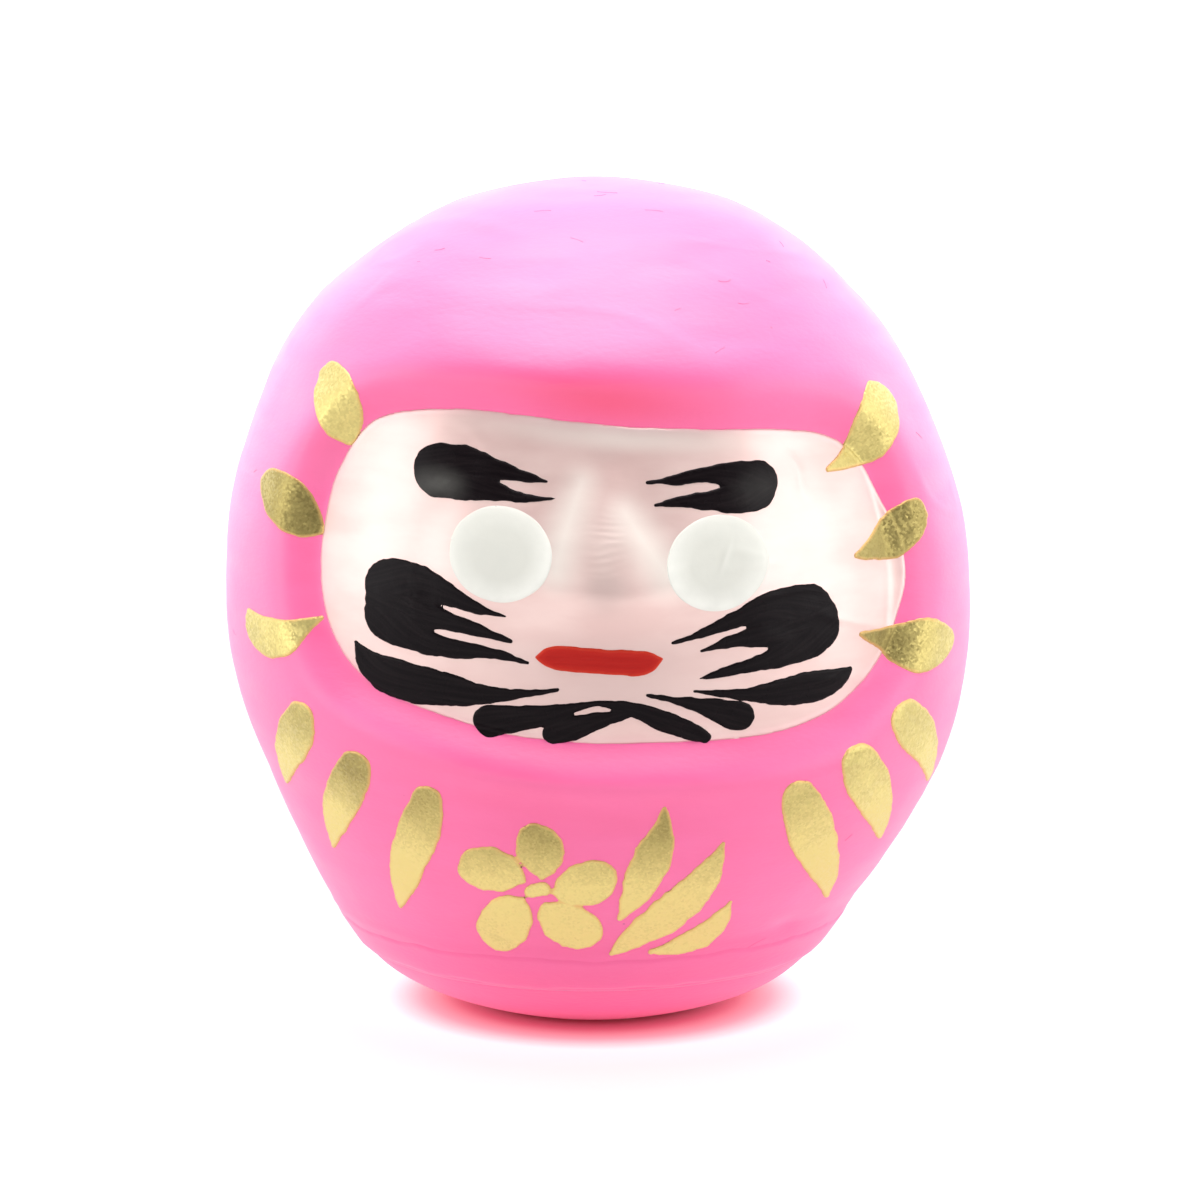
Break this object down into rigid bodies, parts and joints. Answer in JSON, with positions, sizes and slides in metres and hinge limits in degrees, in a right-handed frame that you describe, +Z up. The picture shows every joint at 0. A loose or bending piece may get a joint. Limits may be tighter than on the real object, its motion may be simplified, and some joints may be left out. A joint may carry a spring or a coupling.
{
  "type": "daruma doll",
  "caption": "Round papier-mache daruma doll on a weighted base, with a sunken painted face, gold brush strokes beside it and a gold blossom motif on the belly.",
  "frame": {"origin": "middle of the flat face that the doll rests on", "axes": "+Z up through the crown; the face looks towards -Y; +X is to the right of someone who looks at the face"},
  "size_m": [0.0808, 0.0811, 0.09],
  "materials": {
    "pink_painted_paper": "matte",
    "pink_painted_clay": "matte",
    "bare_paper": "matte",
    "pearl_paint": "pearl",
    "white_paint": "satin",
    "black_paint": "gloss",
    "red_paint": "gloss",
    "gold_paint": "metallic flake"
  },
  "bodies": {
    "root": {"back_seam_strip": "pink_painted_paper", "base_join_strip": "pink_painted_paper", "base_paper": "bare_paper", "base_weight": "pink_painted_clay", "beard_left": "black_paint", "beard_right": "black_paint", "brow_left": "black_paint", "brow_right": "black_paint", "chin_hair_left": "black_paint", "chin_hair_right": "black_paint", "eye_white_left": "white_paint", "eye_white_right": "white_paint", "face_coat": "pearl_paint", "gold_blossom": "gold_paint", "gold_leaves": "gold_paint", "gold_stroke_left_1": "gold_paint", "gold_stroke_left_2": "gold_paint", "gold_stroke_left_3": "gold_paint", "gold_stroke_left_4": "gold_paint", "gold_stroke_left_5": "gold_paint", "gold_stroke_left_6": "gold_paint", "gold_stroke_right_1": "gold_paint", "gold_stroke_right_2": "gold_paint", "gold_stroke_right_3": "gold_paint", "gold_stroke_right_4": "gold_paint", "gold_stroke_right_5": "gold_paint", "gold_stroke_right_6": "gold_paint", "lips": "red_paint", "moustache_left": "black_paint", "moustache_right": "black_paint", "paper_shell": "pink_painted_paper"}
  },
  "joints": []
}
